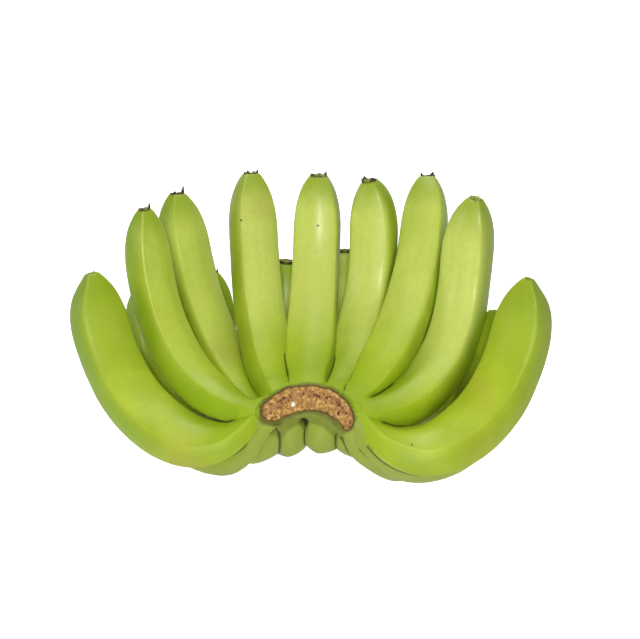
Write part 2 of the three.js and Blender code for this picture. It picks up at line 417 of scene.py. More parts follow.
lines = {label: followFinger(label) for label in labels}
lengths = [f"{label} {line['length'] / mm:.0f} mm" for label, line in lines.items()]
print("fingers followed:", ", ".join(lengths))


# a finger is grown ring by ring along its line

peel = {
    "sides": 20,
    "ridges": (54, 126, 180, 234, 306),  # degrees round from the middle of the broad side
    "flatness": 0.58,  # how far the sides between ridges go from round to flat
    "ridgeOut": 1.03,
    "ridgeCrease": 0.75,
    "leastCrease": 0.1,  # the share of it that a finger without clear ridges has
    "rounding": 1.018,  # makes up for what the subdivision takes off
    # [from the blossom end, how far the radius has grown from the blunt end's to the full one]
    "taper": [[0, 0], [1, 0.1], [3.5, 0.27], [7, 0.46], [12, 0.65], [18, 0.8], [26, 0.93], [36, 0.99]],
    "cornerRise": 0.8 * mm,
    "cornerReach": 6 * mm,  # the rings are even again this far from the blunt end
    "rings": [46, 60, 75, 90, 105, 120, 134, 146, 156, 165],
    "neckRings": [31, 24, 17, 11, 5, 0],  # from the heart of the crown
    "ringsApart": 6,  # at least, where the two meet
    "heartShare": 0.75,
    "dish": 1.3 * mm,
    "dishRings": ((0.8, 0.3), (0.45, 0.7)),  # [how much narrower than the ring before, share of the depth]
    "unevenness": 0.5 * mm,
    "unevenSize": 22 * mm,
    "sideShadeFacing": (-0.93, -0.15, 0.33),  # painted shade: the peel is a darker, fuller green on this side of the fingers at the left
    "sideShadeFrom": (0.45, 0.85),
    "markedEvery": 2,  # every other spot of a line is near enough to find a place on the peel
}


def sideAngle(index):
    return 360 * index / peel["sides"]


def sectionReach(angle):
    # how far out the skin is at this angle: between two ridges, part way from a circle to a straight side
    ridges = peel["ridges"]
    before = [ridge for ridge in (ridges[-1] - 360, *ridges) if ridge <= angle][-1]
    after = [ridge for ridge in (*ridges, ridges[0] + 360) if ridge > angle][0]
    half, off = math.radians((after - before) / 2), math.radians(angle - (after + before) / 2)
    straight = math.cos(half) / math.cos(off)
    return peel["ridgeOut"] * (1 - peel["flatness"] * (1 - straight))


def shapeRing(piece):
    for vertex in editing(piece).verts:
        vertex.co *= sectionReach(sideAngle(vertex.index))
    bmesh.update_edit_mesh(piece.data)
    bpy.ops.mesh.select_all(action="SELECT")


def turnRing(fromAxes, toAxes, spot):
    # the operator turns the other way with no window, about the last column of the given axes
    axis, angle = (toAxes @ fromAxes.inverted()).to_quaternion().to_axis_angle()
    if angle > 1e-5:
        side = axis.orthogonal().normalized()
        columns = Matrix((side, axis.cross(side), axis)).transposed()
        bpy.ops.transform.rotate(value=-angle, orient_axis="Z", orient_matrix=columns, center_override=spot)


def extrudeAlong(name, line, stations, closeStart=False):
    deselectAll()
    distance, radius = stations[0]
    spot, axes = placeOn(line, distance)
    bpy.ops.mesh.primitive_circle_add(
        vertices=peel["sides"], radius=radius, location=spot, rotation=axes.to_euler())
    piece = bpy.context.object
    piece.name = piece.data.name = name
    shapeRing(piece)
    for distance, nextRadius in stations[1:]:
        nextSpot, nextAxes = placeOn(line, distance)
        extrudeRing(nextSpot - spot, nextRadius / radius, nextSpot)
        turnRing(axes, nextAxes, nextSpot)
        spot, axes, radius = nextSpot, nextAxes, nextRadius
    bpy.ops.mesh.edge_face_add()
    if closeStart:
        pick(piece, "VERT", lambda vertex: vertex.index < peel["sides"])
        bpy.ops.mesh.edge_face_add()
    return piece


def raiseCorners(piece, line, stations):
    # the ridges end in low corners round the blunt end
    sides = peel["sides"]
    for ring, (distance, radius) in enumerate(stations):
        rise = peel["cornerRise"] * max(0, 1 - distance / peel["cornerReach"])
        heading = piece.matrix_world.to_3x3().inverted() @ placeOn(line, distance)[1].col[2]
        for vertex in editing(piece).verts[ring * sides:(ring + 1) * sides]:
            if sideAngle(vertex.index % sides) in peel["ridges"]:
                vertex.co -= heading * rise
    bmesh.update_edit_mesh(piece.data)


def closeBluntEnd(piece, line):
    # the first ring is closed with a shallow dish
    spot, axes = placeOn(line, 0)
    pick(piece, "VERT", lambda vertex: vertex.index < peel["sides"])
    for share, depth in peel["dishRings"]:
        extrudeRing(axes.col[2] * depth * peel["dish"], share, spot)
    bpy.ops.mesh.edge_face_add()


def creaseRidges(piece, clearness):
    def onRidge(edge):
        first, second = (vertex.index for vertex in edge.verts)
        return abs(first - second) == peel["sides"] and sideAngle(first % peel["sides"]) in peel["ridges"]

    pick(piece, "EDGE", onRidge)
    least = peel["leastCrease"]
    bpy.ops.transform.edge_crease(value=peel["ridgeCrease"] * (least + (1 - least) * clearness))


def skinRadius(label, distance):
    line = lines[label]
    return float(line["radii"][stepAt(line, distance)]) * peel["rounding"]


def fingerStations(label):
    line = lines[label]
    radius = line["girth"] / 2 * peel["rounding"]
    end = fingerLooks[label]["end"]
    stations = [[distance * mm, radius * (end + (1 - end) * grown)] for distance, grown in peel["taper"]]
    lastRing = line["length"] - (peel["neckRings"][0] + peel["ringsApart"]) * mm
    middle = [ring * mm for ring in peel["rings"] if ring * mm < lastRing]
    for distance in middle + [line["length"] - back * mm for back in peel["neckRings"]]:
        stations.append([distance, skinRadius(label, distance)])
    stations[-1][1] *= peel["heartShare"]
    return stations


bumps = bpy.data.textures.new("gentle bumps", "CLOUDS")
bumps.noise_scale = peel["unevenSize"]


def growFinger(label):
    line = lines[label]
    stations = fingerStations(label)
    finger = extrudeAlong("banana_peel_" + label, line, stations)
    raiseCorners(finger, line, stations)
    creaseRidges(finger, fingerLooks[label]["ridge"])
    closeBluntEnd(finger, line)
    settle(finger)
    applyModifier(finger, "SUBSURF", levels=2, render_levels=2)
    applyModifier(finger, "DISPLACE", texture=bumps, texture_coords="GLOBAL", strength=peel["unevenness"])
    workOn(finger)
    bpy.ops.object.shade_smooth()
    return finger


def markPeel(label, finger):
    # peel: the place on the finger as if it were straight; growth: how far towards the blossom end, how far
    # from the nearest ridge in millimetres, and how close to a neighbour, for the painted crease shade; sides:
    # how much painted shade its left side gets, and how far towards the inside of the bend; shade: how pale,
    # as its own tint and a painted highlight, how clear its ridges, how grey, with painted shade under the
    # cut; mark: where its brown mark is
    line, looks = lines[label], fingerLooks[label]
    places = verticesOf(finger)
    every = peel["markedEvery"]
    gaps = ((places[:, None, :] - line["spots"][None, ::every, :]) ** 2).sum(2)
    index = gaps.argmin(1) * every
    offset = places - line["spots"][index]
    heading, flank, broad = (line[name][index] for name in ("headings", "flanks", "broads"))
    distance = index * mm + (offset * heading).sum(1)
    flat = np.c_[(offset * flank).sum(1), (offset * broad).sum(1)]
    angle = np.degrees(np.arctan2(flat[:, 0], flat[:, 1])) % 360
    off = np.min([abs(angle - ridge) for ridge in peel["ridges"]], axis=0)
    fromRidge = np.radians(off) * np.linalg.norm(flat, axis=1) / mm
    store(finger, "peel", *flat.T, distance)
    store(finger, "growth", 1 - distance / line["length"], fromRidge, creaseShadeNear(label, places))
    # painted shade on the side of the left fingers that faces this way
    sideways = offset / np.linalg.norm(offset, axis=1)[:, None] @ np.array(peel["sideShadeFacing"])
    lush = looks["lush"] * smoothStep(sideways, *peel["sideShadeFrom"])
    # how far towards the broad side: it places the painted highlight there and the painted shade on the flanks
    inner = flat[:, 1] / np.linalg.norm(flat, axis=1)
    store(finger, "sides", lush, inner)
    store(finger, "shade", looks["pale"], looks["ridge"], greyOnNeck(label, places))
    markAt, markTurn, markSize = looks["mark"]
    radius = skinRadius(label, markAt * mm) * sectionReach(markTurn % 360)
    turn = math.radians(markTurn)
    store(finger, "markPlace", radius * math.sin(turn), radius * math.cos(turn), markAt * mm)
    store(finger, "markSize", markSize * mm)


# where necks touch each other and the crown, the peel is browner, greyer or darker: painted shade in the
# creases between necks and under the cut, and a duller grey on the back row's necks

creases = {
    "near": 2.5 * mm,  # where two fingers come this close the peel gets a painted crease shade, dark brown
    "reach": 75 * mm,  # creases are looked for this far from the cut's middle
    "greyFront": 0.04,
    "greyBack": 0.5,
    "greyReach": (110 * mm, 60 * mm),
    "darkTop": (-1 * mm, 0.5 * mm),  # painted shade under the cut between here
    "darkBottom": (11 * mm, 6 * mm),  # and here
    "darkTurn": (1.8, 1),
    "neckSpots": 45,  # the last so many millimetres of every line
    "rowBlend": (-1 * mm, 4 * mm),
    "hornGrey": (0.88, 1.02),  # under the horns, from this share of their turn on
    "hornBelow": (-14 * mm, -9 * mm),
    "hornSide": (22 * mm, 28 * mm),  # this far to the sides, and this near the cut, necks meet smoothly
    "hornClear": (12 * mm, 9 * mm),
}


def farFromCut(places):
    return np.linalg.norm(places - np.array(plan["middle"]), axis=1)


def belowCut(places):
    # how far inwards from the crescent's inner edge a place is, and its turn as a share of the horns'
    across, up = fromMiddle(places, "across", "up")
    innerEdge = plan["radius"] - plan["halfWidth"]
    return innerEdge - np.hypot(across, up), abs(np.arctan2(across, up)) / plan["hornTurn"]


def clearOfHorns(places):
    # 0 beside the horns, where the necks run smoothly into the crown, and 1 elsewhere
    across, up = fromMiddle(places, "across", "up")
    nearest = np.clip(np.arctan2(across, up), -plan["hornTurn"], plan["hornTurn"])
    reach = plan["radius"]
    outside = np.hypot(across - reach * np.sin(nearest), up - reach * np.cos(nearest)) - plan["halfWidth"]
    return 1 - smoothStep(abs(across), *creases["hornSide"]) * smoothStep(outside, *creases["hornClear"])


# painted shade under the cut's inner edge, fading towards the horns
def shadeUnderCut(places):
    below, turn = belowCut(places)
    dark = smoothStep(below, *creases["darkTop"]) * smoothStep(below, *creases["darkBottom"])
    return dark * smoothStep(turn, *creases["darkTurn"])


def greyOnNeck(label, places):
    # the back row's necks are duller and greyer near the crown, and painted shade darkens them under the cut
    if "front" in label:
        return creases["greyFront"]
    grey = creases["greyBack"] * smoothStep(farFromCut(places), *creases["greyReach"])
    return np.maximum(grey, shadeUnderCut(places))


def gapTo(row, places):
    spots = np.vstack([line["spots"][-creases["neckSpots"]:] for label, line in lines.items() if row in label])
    tree = kdtree.KDTree(len(spots))
    for index, spot in enumerate(spots):
        tree.insert(spot, index)
    tree.balance()
    return np.array([tree.find(place)[2] for place in places])


def nearerBack(places):
    return smoothStep(gapTo("front", places) - gapTo("back", places), *creases["rowBlend"])


# the crown's skin is duller and greyer next to the back row's necks and past the horns, with painted shade
# under the cut
def greyOnCrown(places):
    below, turn = belowCut(places)
    pastHorn = smoothStep(turn, *creases["hornGrey"]) * smoothStep(below, *creases["hornBelow"])
    grey = np.maximum(nearerBack(places), pastHorn)
    return np.maximum(creases["greyBack"] * grey, shadeUnderCut(places))


def neckSurface(finger):
    places = verticesOf(finger)
    near = farFromCut(places) < creases["reach"]
    faces = [tuple(face.vertices) for face in finger.data.polygons if near[face.vertices[0]]]
    return BVHTree.FromPolygons(places.tolist(), faces)


def creaseShadeNear(label, places):
    # the share of painted crease shade: 1 where a neighbour touches, falling to 0 where none is near
    nearness = np.zeros(len(places))
    for index in np.flatnonzero(farFromCut(places) < creases["reach"]):
        for other, surface in neckSurfaces.items():
            gap = surface.find_nearest(places[index], creases["near"])[3] if other != label else None
            if gap is not None:
                nearness[index] = max(nearness[index], 1 - gap / creases["near"])
    return nearness * clearOfHorns(places)


fingers = {label: growFinger(label) for label in labels}
neckSurfaces = {label: neckSurface(finger) for label, finger in fingers.items()}
for label, finger in fingers.items():
    markPeel(label, finger)
print("fingers grown:", sum(len(finger.data.polygons) for finger in fingers.values()), "faces")

for label, finger in fingers.items():
    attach(finger, "root")
    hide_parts("banana_" + label)


# the dried rest of the flower on every blunt end: each kind is modelled once and copied

dried = {
    # [radius, height] up the outside, over the rim and down into the dish, as shares of the end's radius
    "outline": [[0.9, -0.3], [1.05, 0.0], [1.03, 0.13], [0.88, 0.12], [0.66, 0.02], [0.3, -0.02]],
    "rims": (2, 3),
    "wander": 0.4,  # how far a ragged wall wanders in and out, for its raggedness
    "rimBrown": ((0.7, 0.86), (0, 0.1)),  # brown from this radius and this height on
    "kinds": {
        # how high the rim stands, how ragged it is, how far its corners stand up, how brown it is, and the
        # tall places of its rim by their number round it
        "scar": (0.7, 0.2, 0.1, 0.45, {}),
        "corners": (1.1, 0.07, 0.1, 1, {3: 0.5, 4: 0.2, 17: 0.55, 7: 0.3, 13: 0.3}),
        "spike": (1, 0.14, 0.1, 1, {1: 0.4, 2: 0.9, 3: 1.1, 4: 0.9, 5: 0.4, 16: 0.3, 17: 0.5}),
        "ragged": (1, 0.24, 0.1, 1, {13: 0.2, 7: 0.2, 1: 0.2, 18: 0.2}),
        "torn": (1, 0.2, 0.1, 1, {13: 0.5, 14: 0.4, 16: 0.6, 17: 0.5, 3: 0.7}),
        "stub": (1.7, 0.1, 0.05, 1, {}),
    },
}


def modelDried(kind):
    rimHeight, ragged, cornerRise, brown, tall = dried["kinds"][kind]
    chance = random.Random(kind)
    deselectAll()
    radius, height = dried["outline"][0]
    bpy.ops.mesh.primitive_circle_add(vertices=peel["sides"], radius=radius, location=(0, 0, height))
    cup = bpy.context.object
    cup.name = "dried_" + kind
    editAll(cup)
    for ring, (nextRadius, nextHeight) in enumerate(dried["outline"][1:], 1):
        rise = (nextHeight - height) * rimHeight
        extrudeRing((0, 0, rise), nextRadius / radius, (0, 0, 0))
        radius, height = nextRadius, nextHeight
    bpy.ops.mesh.edge_face_add()
    sides = peel["sides"]
    for vertex in editing(cup).verts:
        ring, side = divmod(vertex.index, sides)
        angle = sideAngle(side)
        reach = sectionReach(angle) * (1 + chance.uniform(-dried["wander"], dried["wander"]) * ragged)
        vertex.co.x *= reach
        vertex.co.y *= reach
        if ring in dried["rims"]:
            corner = cornerRise * (1 if angle in peel["ridges"] else 0)
            vertex.co.z += corner + tall.get(side, 0) + chance.uniform(-1, 1) * ragged
    bmesh.update_edit_mesh(cup.data)
    pick(cup, "VERT", lambda vertex: vertex.index < sides)
    bpy.ops.mesh.edge_face_add()
    settle(cup)
    applyModifier(cup, "SUBSURF", levels=2, render_levels=2)
    # 1 on the dark rim, 0 in the dish and where the wall meets the peel
    places = verticesOf(cup)
    fromRadius, fromHeight = dried["rimBrown"]
    onRim = smoothStep(np.hypot(*places[:, :2].T), *fromRadius) * smoothStep(places[:, 2], *fromHeight)
    store(cup, "onRim", onRim * brown)
    workOn(cup)
    bpy.ops.object.shade_smooth()
    return cup


def setDried(label, models):
    line = lines[label]
    model = models[fingerLooks[label]["dried"]]
    cup = model.copy()
    cup.data = model.data.copy()
    cup.name = cup.data.name = "dried_end_" + label
    bpy.context.scene.collection.objects.link(cup)
    spot, axes = placeOn(line, 0)
    radius = line["girth"] / 2 * fingerLooks[label]["end"]
    # the cup opens away from the finger, with its corners on the ridges
    outwards = Matrix((-axes.col[0], axes.col[1], -axes.col[2])).transposed()
    cup.matrix_world = Matrix.LocRotScale(spot, outwards.to_quaternion(), Vector([radius] * 3))
    settle(cup)
    return cup


driedModels = {kind: modelDried(kind) for kind in dried["kinds"]}
driedEnds = {label: setDried(label, driedModels) for label in labels}
for model in driedModels.values():
    bpy.data.objects.remove(model)
for label, cup in driedEnds.items():
    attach(cup, "root")
    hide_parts("blossom_end_" + label)
print("dried ends set:", len(driedEnds))


# the crown: the frame's crescent and a short collar round every neck, melted into one

crown = {
    # [from the heart of the crown, how much thicker than the neck]
    "frontCollar": [[0, -1], [5, 0.4], [10, 0.8], [15, 0.6], [20, 0.1], [25, -0.6], [30, -1.6], [34, -3]],
    "backCollar": [[0, -1], [5, 0.3], [9, 0.4], [13, 0], [17, -0.8], [22, -2.5]],
    "weld": 0.01 * mm,
    "voxel": 0.8 * mm,
    "melting": (0.5, 14),  # how far a vertex goes towards its neighbours, and how often
    "finer": (3 * mm, -1.5 * mm),  # twice as fine this near behind the cut, and this far round it
    "furrowWidth": (1.2 * mm, 5 * mm),  # between the necks, and how much wider near the cut in the back row
    "furrowWide": (11 * mm, 6 * mm),
    "furrowDeep": (1.3 * mm, 4 * mm),  # in the front row and in the back row
    "furrowTop": ((2.5 * mm, 6 * mm), (4 * mm, 6 * mm)),  # how near the cut they fade
    "furrowTurn": (0.95, 0.8),  # towards the horns the back row's furrows are no wider than the others
    "furrowLost": (10 * mm, 6 * mm),  # no furrow where the necks are further under the skin
    "thinning": (0.2, 0.44),  # the crescent narrows towards its left and right horns by these shares
    "thinningPower": 3,
    "hook": 0.16,  # the right horn runs on by this angle
    "hookIn": 2.5 * mm,  # and turns inwards this far
    "hookPower": 4,
    "hookEnd": 1.2,  # as far as this share of the horns' turn
    "outline": ((0.9 * mm, 6 * mm, 2), (0.4 * mm, 1.6 * mm, 7)),  # it wanders: how far, over what length, seed
    "outlineNear": (4 * mm, 6 * mm),  # this near it, and this near behind the cut
    "carved": (5 * mm, -3 * mm),  # the skin is carved this near behind the cut, and this far round it
    "carveFades": 3 * mm,
    "onEdge": 6 * mm,  # a place is painted as cut flesh no further from the edge than from here behind it
    "rimSoft": 0.5 * mm,
    "dome": 0.5 * mm,  # how far the cut swells in its middle
    "lip": 0.35 * mm,  # it rises and falls again inside the edge
    "lipPlace": (0.6 * mm, 2 * mm),
    "groove": 0.6 * mm,  # it falls and rises again outside the edge
    "groovePlace": (-2 * mm, -0.6 * mm),
    "shoulder": 0.9,  # how steeply the skin falls away outside the cut, near the horns
    "shoulderTurn": (0.6, 0.85),
    # [height, length, seed, and how long it is along the arc and out from it]
    "relief": [
        [0.75 * mm, 3.2 * mm, 1, (1, 1, 1)],
        [0.375 * mm, 1.4 * mm, 5, (1, 1, 1)],
        [0.25 * mm, 0.7 * mm, 9, (1, 0.3, 1)],
    ],
}


def growCollar(label):
    line = lines[label]
    stations = []
    for back, extra in crown["backCollar" if "back" in label else "frontCollar"]:
        distance = line["length"] - back * mm
        stations.append([distance, skinRadius(label, distance) + extra * mm])
    collar = extrudeAlong("collar_" + label, line, stations, closeStart=True)
    settle(collar)
    return collar


def copyOfNode(node, name):
    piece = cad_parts[node].copy()
    piece.data = piece.data.copy()
    piece.name = piece.data.name = name
    for key in list(piece.keys()):
        del piece[key]
    piece.parent = None
    bpy.context.scene.collection.objects.link(piece)
    editAll(piece)
    bpy.ops.mesh.remove_doubles(threshold=crown["weld"])
    bpy.ops.object.mode_set(mode="OBJECT")
    piece.data.materials.clear()
    return piece


def roughness(places, size, seed):
    # a smooth random height between -1 and 1 over the cut
    return np.array([noise.noise(Vector(place) / size + Vector((seed, 0, 0))) for place in places])


def onCut(places):
    # along the arc, outwards from it, behind the cut, and how far inside the crescent's edge
    across, up, into = fromMiddle(places, "across", "up", "into")
    radius, hornTurn = plan["radius"], plan["hornTurn"]
    turn = np.arctan2(across, up)
    thinning = np.where(turn < 0, *crown["thinning"])
    narrowed = thinning * np.minimum(abs(turn) / hornTurn, 1) ** crown["thinningPower"]
    lastTurn = hornTurn - plan["halfWidth"] * (1 - thinning) / radius
    lastTurn += np.where(turn < 0, 0, crown["hook"])
    outwards = np.hypot(across, up) - radius
    outwards += crown["hookIn"] * np.clip(turn / hornTurn, 0, crown["hookEnd"]) ** crown["hookPower"]
    pastEnd = np.maximum(abs(turn) - lastTurn, 0) * radius
    inside = plan["halfWidth"] * (1 - narrowed) - np.hypot(outwards, pastEnd)
    near = (abs(inside) < crown["outlineNear"][0]) & (into < crown["outlineNear"][1])
    spots = np.c_[turn * radius, outwards, np.zeros(len(turn))][near]
    for depth, length, seed in crown["outline"]:
        inside[near] += depth * roughness(spots, length, seed)
    return turn * radius, outwards, into, inside


def carveCut(piece):
    furrow = furrowNecks(piece)
    places = verticesOf(piece)
    along, out, deep, inside = onCut(places)
    deepest, widest = crown["carved"]
    near = (deep < deepest) & (inside > widest)
    along, out, deep, inside = (values[near] for values in (along, out, deep, inside))
    spots = np.c_[along, out, np.zeros(len(along))]
    height = crown["dome"] * smoothStep(inside, 0, plan["halfWidth"])
    lipTop, lipEnd = crown["lipPlace"]
    height += crown["lip"] * smoothStep(inside, 0, lipTop) * smoothStep(inside, lipEnd, lipTop)
    for rise, length, seed, stretch in crown["relief"]:
        height += rise * roughness(spots * stretch, length, seed)
    flat = smoothStep(inside, -crown["rimSoft"], crown["rimSoft"])
    target = deep * (1 - flat) - height * flat
    fromOutside, fromInside = crown["groovePlace"]
    groove = smoothStep(inside, fromOutside, fromInside) * smoothStep(inside, 0, fromInside)
    target += crown["groove"] * groove
    hornShare = abs(along) / plan["radius"] / plan["hornTurn"]
    slope = crown["shoulder"] * smoothStep(hornShare, *crown["shoulderTurn"])
    target = np.maximum(target, np.minimum(slope * np.maximum(-inside, 0), deepest))
    top = smoothStep(deep, deepest, crown["carveFades"])
    places[near] += ((target - deep) * top)[:, None] * np.array(plan["into"])
    moveVertices(piece, places)
    along, out, deep, inside = onCut(places)
    store(piece, "cutPlace", along, out, np.minimum(inside, crown["onEdge"] - deep))
    store(piece, "shade", furrow, greyOnCrown(places))


def neckGaps(places):
    # how far each place is from the nearest neck, and from the next one
    most = crown["furrowLost"][0] + sum(crown["furrowWidth"])
    gaps = np.full((len(places), len(neckSurfaces)), most)
    for column, surface in enumerate(neckSurfaces.values()):
        for row, place in enumerate(places):
            gap = surface.find_nearest(place, most)[3]
            if gap is not None:
                gaps[row, column] = gap
    gaps.sort(axis=1)
    return gaps[:, 0], gaps[:, 1]


def furrowNecks(piece):
    places = verticesOf(piece)
    nearest, second = neckGaps(places)
    outside = -onCut(places)[3]
    back = nearerBack(places)
    front = smoothStep(outside, *crown["furrowTop"][0]) * (1 - back)
    wide = back * smoothStep(belowCut(places)[1], *crown["furrowTurn"])
    narrow, wider = crown["furrowWidth"]
    width = narrow + wider * smoothStep(outside, *crown["furrowWide"]) * wide
    furrow = smoothStep((second - nearest) / width, 1, 0) * smoothStep(nearest, *crown["furrowLost"])
    furrow *= front + smoothStep(outside, *crown["furrowTop"][1]) * back
    furrow *= clearOfHorns(places)
    depth = furrow * (crown["furrowDeep"][0] * (1 - back) + crown["furrowDeep"][1] * back)
    moveVertices(piece, places - verticesOf(piece, "normal") * depth[:, None])
    return furrow


def refineCut(piece):
    deep, inside = onCut(verticesOf(piece))[2:]
    wanted = (deep < crown["finer"][0]) & (inside > crown["finer"][1])
    pick(piece, "VERT", lambda vertex: wanted[vertex.index])
    bpy.ops.mesh.subdivide(number_cuts=1)
    workOn(piece)


def growCrown():
    pieces = [growCollar(label) for label in labels]
    body = copyOfNode("crown", "crown_body")
    for piece in pieces:
        piece.select_set(True)
    bpy.ops.object.join()
    applyModifier(body, "REMESH", mode="VOXEL", voxel_size=crown["voxel"], use_smooth_shade=True)
    factor, times = crown["melting"]
    applyModifier(body, "SMOOTH", factor=factor, iterations=times)
    refineCut(body)
    carveCut(body)
    return body


crownBody = growCrown()
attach(crownBody, "root")
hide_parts("crown")
print("crown grown:", len(crownBody.data.polygons), "faces")


# materials, from procedural nodes

def fill(node, inputs):
    for key, value in inputs.items():
        if isinstance(value, bpy.types.NodeSocket):
            node.id_data.links.new(value, node.inputs[key])
        else:
            node.inputs[key].default_value = value


def put(tree, kind, inputs=None, **settings):
    made = tree.nodes.new("ShaderNode" + kind)
    for name, value in settings.items():
        setattr(made, name, value)
    fill(made, inputs or {})
    return made


def putAfter(socket, kind, inputs, **settings):
    return put(socket.id_data, kind, inputs, **settings).outputs


def between(value, low, high, toLow=0.0, toHigh=1.0):
    # a smooth step from toLow at low to toHigh at high
    inputs = {"Value": value, "From Min": low, "From Max": high, "To Min": toLow, "To Max": toHigh}
    return putAfter(value, "MapRange", inputs, interpolation_type="SMOOTHSTEP")["Result"]


def noiseOn(where, scale, detail, roughness=0.5):
    inputs = {"Vector": where, "Scale": scale, "Detail": detail, "Roughness": roughness}
    return putAfter(where, "TexNoise", inputs)["Fac"]


def noisesOn(where, looks):
    return {name: noiseOn(where, *numbers) for name, numbers in looks.items()}


def cellsOn(where, scale):
    cells = putAfter(where, "TexVoronoi", {"Vector": where, "Scale": scale})
    chance = putAfter(where, "SeparateXYZ", {0: cells["Color"]})[0]
    return {"cellGap": cells["Distance"], "cellChance": chance}


def stretchedBy(where, scale):
    return putAfter(where, "Mapping", {"Vector": where, "Scale": scale})[0]


def calculate(operation, first, second):
    return putAfter(first, "Math", {0: first, 1: second}, operation=operation)[0]


def times(first, *others):
    for other in others:
        first = calculate("MULTIPLY", first, other)
    return first


def stored(tree, name):
    return put(tree, "Attribute", attribute_name=name).outputs["Vector"]


def partsOf(tree, name, *names):
    return dict(zip(names, put(tree, "SeparateXYZ", {0: stored(tree, name)}).outputs))


def distanceTo(place, spot):
    return putAfter(place, "VectorMath", {0: place, 1: spot}, operation="DISTANCE")["Value"]


def bumpOf(height, strength, depth):
    return putAfter(height, "Bump", {"Height": height, "Strength": strength, "Distance": depth})[0]


def blendColours(share, first, second):
    return putAfter(share, "Mix", {0: share, 6: first, 7: second}, data_type="RGBA")[2]


def shareOf(patterns, pattern, *reach):
    # a pattern as it is, or from where to where in it, and from how much to how much
    return between(patterns[pattern], *reach) if reach else patterns[pattern]


def addProducts(patterns, looks):
    for name, factors in looks["products"].items():
        patterns[name] = times(*(shareOf(patterns, *factor) for factor in factors))


def paintLayers(colour, patterns, looks, layers):
    for tint, *share in looks[layers]:
        colour = blendColours(shareOf(patterns, *share), colour, looks[tint])
    return colour


def newMaterial(name):
    material = bpy.data.materials.new(name)
    material.use_nodes = True
    tree = material.node_tree
    return material, tree, tree.nodes["Principled BSDF"]


def rgb(red, green, blue):
    # a colour as it looks on the screen, from 0 to 255, made linear for the shader
    def linear(part):
        part = part / 255
        return part / 12.92 if part < 0.04045 else ((part + 0.055) / 1.055) ** 2.4
    return linear(red), linear(green), linear(blue), 1


skin = {
    "lime": rgb(182, 202, 44),
    "leaf": rgb(162, 186, 28),
    "deep": rgb(124, 148, 8),
    # the pale colour is partly each finger's own tint and partly a painted highlight
    "pale": rgb(212, 224, 108),
    "ridgePale": rgb(205, 218, 108),
    "neckGreen": rgb(152, 178, 18),
    "tipGreen": rgb(146, 172, 26),
    # a duller grey-green, and painted shade under the cut
    "dullGreen": rgb(150, 165, 56),
    "underCutShade": rgb(122, 134, 38),
    # painted shade in the creases where necks touch
    "crease": rgb(62, 58, 20),
    "blush": rgb(178, 164, 62),
    # painted shade on the left side of the left fingers
    "lush": rgb(130, 172, 24),
    "spot": rgb(88, 70, 34),
    # [scale, detail, roughness]
    "noises": {"clouds": (38, 3), "mottle": (240, 4), "blush": (17, 2), "fine": (900, 2)},
    "drawnOut": {"streaks": (520, 4, 0.6), "broad": (104, 2)},
    "drawing": (1, 1, 0.035),  # these run along the finger
    # [colour, pattern], and for most from where to where in the pattern, and from how much to how much
    "layers": [
        ["leaf", "clouds", 0.3, 0.7],
        # partly own tint, partly painted highlight: the pale fingers are paler on the broad side of their
        # outer half
        ["pale", "paleTintAndHighlight"],
        # painted shade: the flanks, away from the broad side, are a deeper green
        ["deep", "inner", 0.7, 0.1, 0, 0.3],
        ["deep", "broad", 0.42, 0.68, 0, 0.06],
        ["deep", "streaks", 0.45, 0.75, 0, 0.08],
        ["neckGreen", "along", 0.3, 0.08, 0, 0.85],
        ["deep", "along", 0.14, 0.05, 0, 0.5],
        ["tipGreen", "along", 0.86, 1, 0, 0.8],
        ["tipGreen", "tipward"],
        ["ridgePale", "onRidge"],
        ["deep", "mottle", 0.38, 0.66, 0, 0.07],
        ["blush", "blush", 0.56, 0.74, 0, 0.45],
        # painted shade on the left side of the left fingers
        ["lush", "lush"],
    ],
    # duller grey-green, then painted shade under the cut
    "neckLayers": [["dullGreen", "grey", 0, 0.5], ["underCutShade", "grey", 0.5, 1]],
    # painted crease shade where necks touch, then brown freckles and marks
    "lastLayers": [["crease", "crease", 0.4, 0.95, 0, 0.9], ["spot", "freckles"], ["spot", "mark"]],
    # patterns that are others multiplied, each [pattern], or with its reach as above
    "products": {
        # own pale tint and painted highlight, on the broad side of the outer half
        "paleTintAndHighlight": [["pale"], ["along", 0.18, 0.55], ["inner", 0.1, 0.85]],
        "tipward": [["along", 0.6, 0.95, 0, 0.6], ["pale", 0.4, 0]],
        "onRidge": [
            ["fromRidge", 1.1, 0.2], ["broad", 0.35, 0.6], ["along", 0.06, 0.25, 0, 0.6], ["ridgeLine"],
        ],
        "freckles": [["cellGap", 0.07, 0.03], ["cellChance", 0.82, 0.84, 0, 0.5]],
        "shine": [["pale"], ["along", 0.3, 0.6, 0, 0.2]],
        "mark": [["markGap", 1.1, 0.6]],
    },
    "cellScale": 110,
    "roughness": (0.06, 0.25, 0.65, 0.45),  # along the finger, on the neck and from there on
    "gloss": 0.35,
    "coat": 0.06,  # and the shine of the pale fingers' outer half is added
    "coatRoughness": 0.25,
    "bump": (0.3, 0.3 * mm),
}


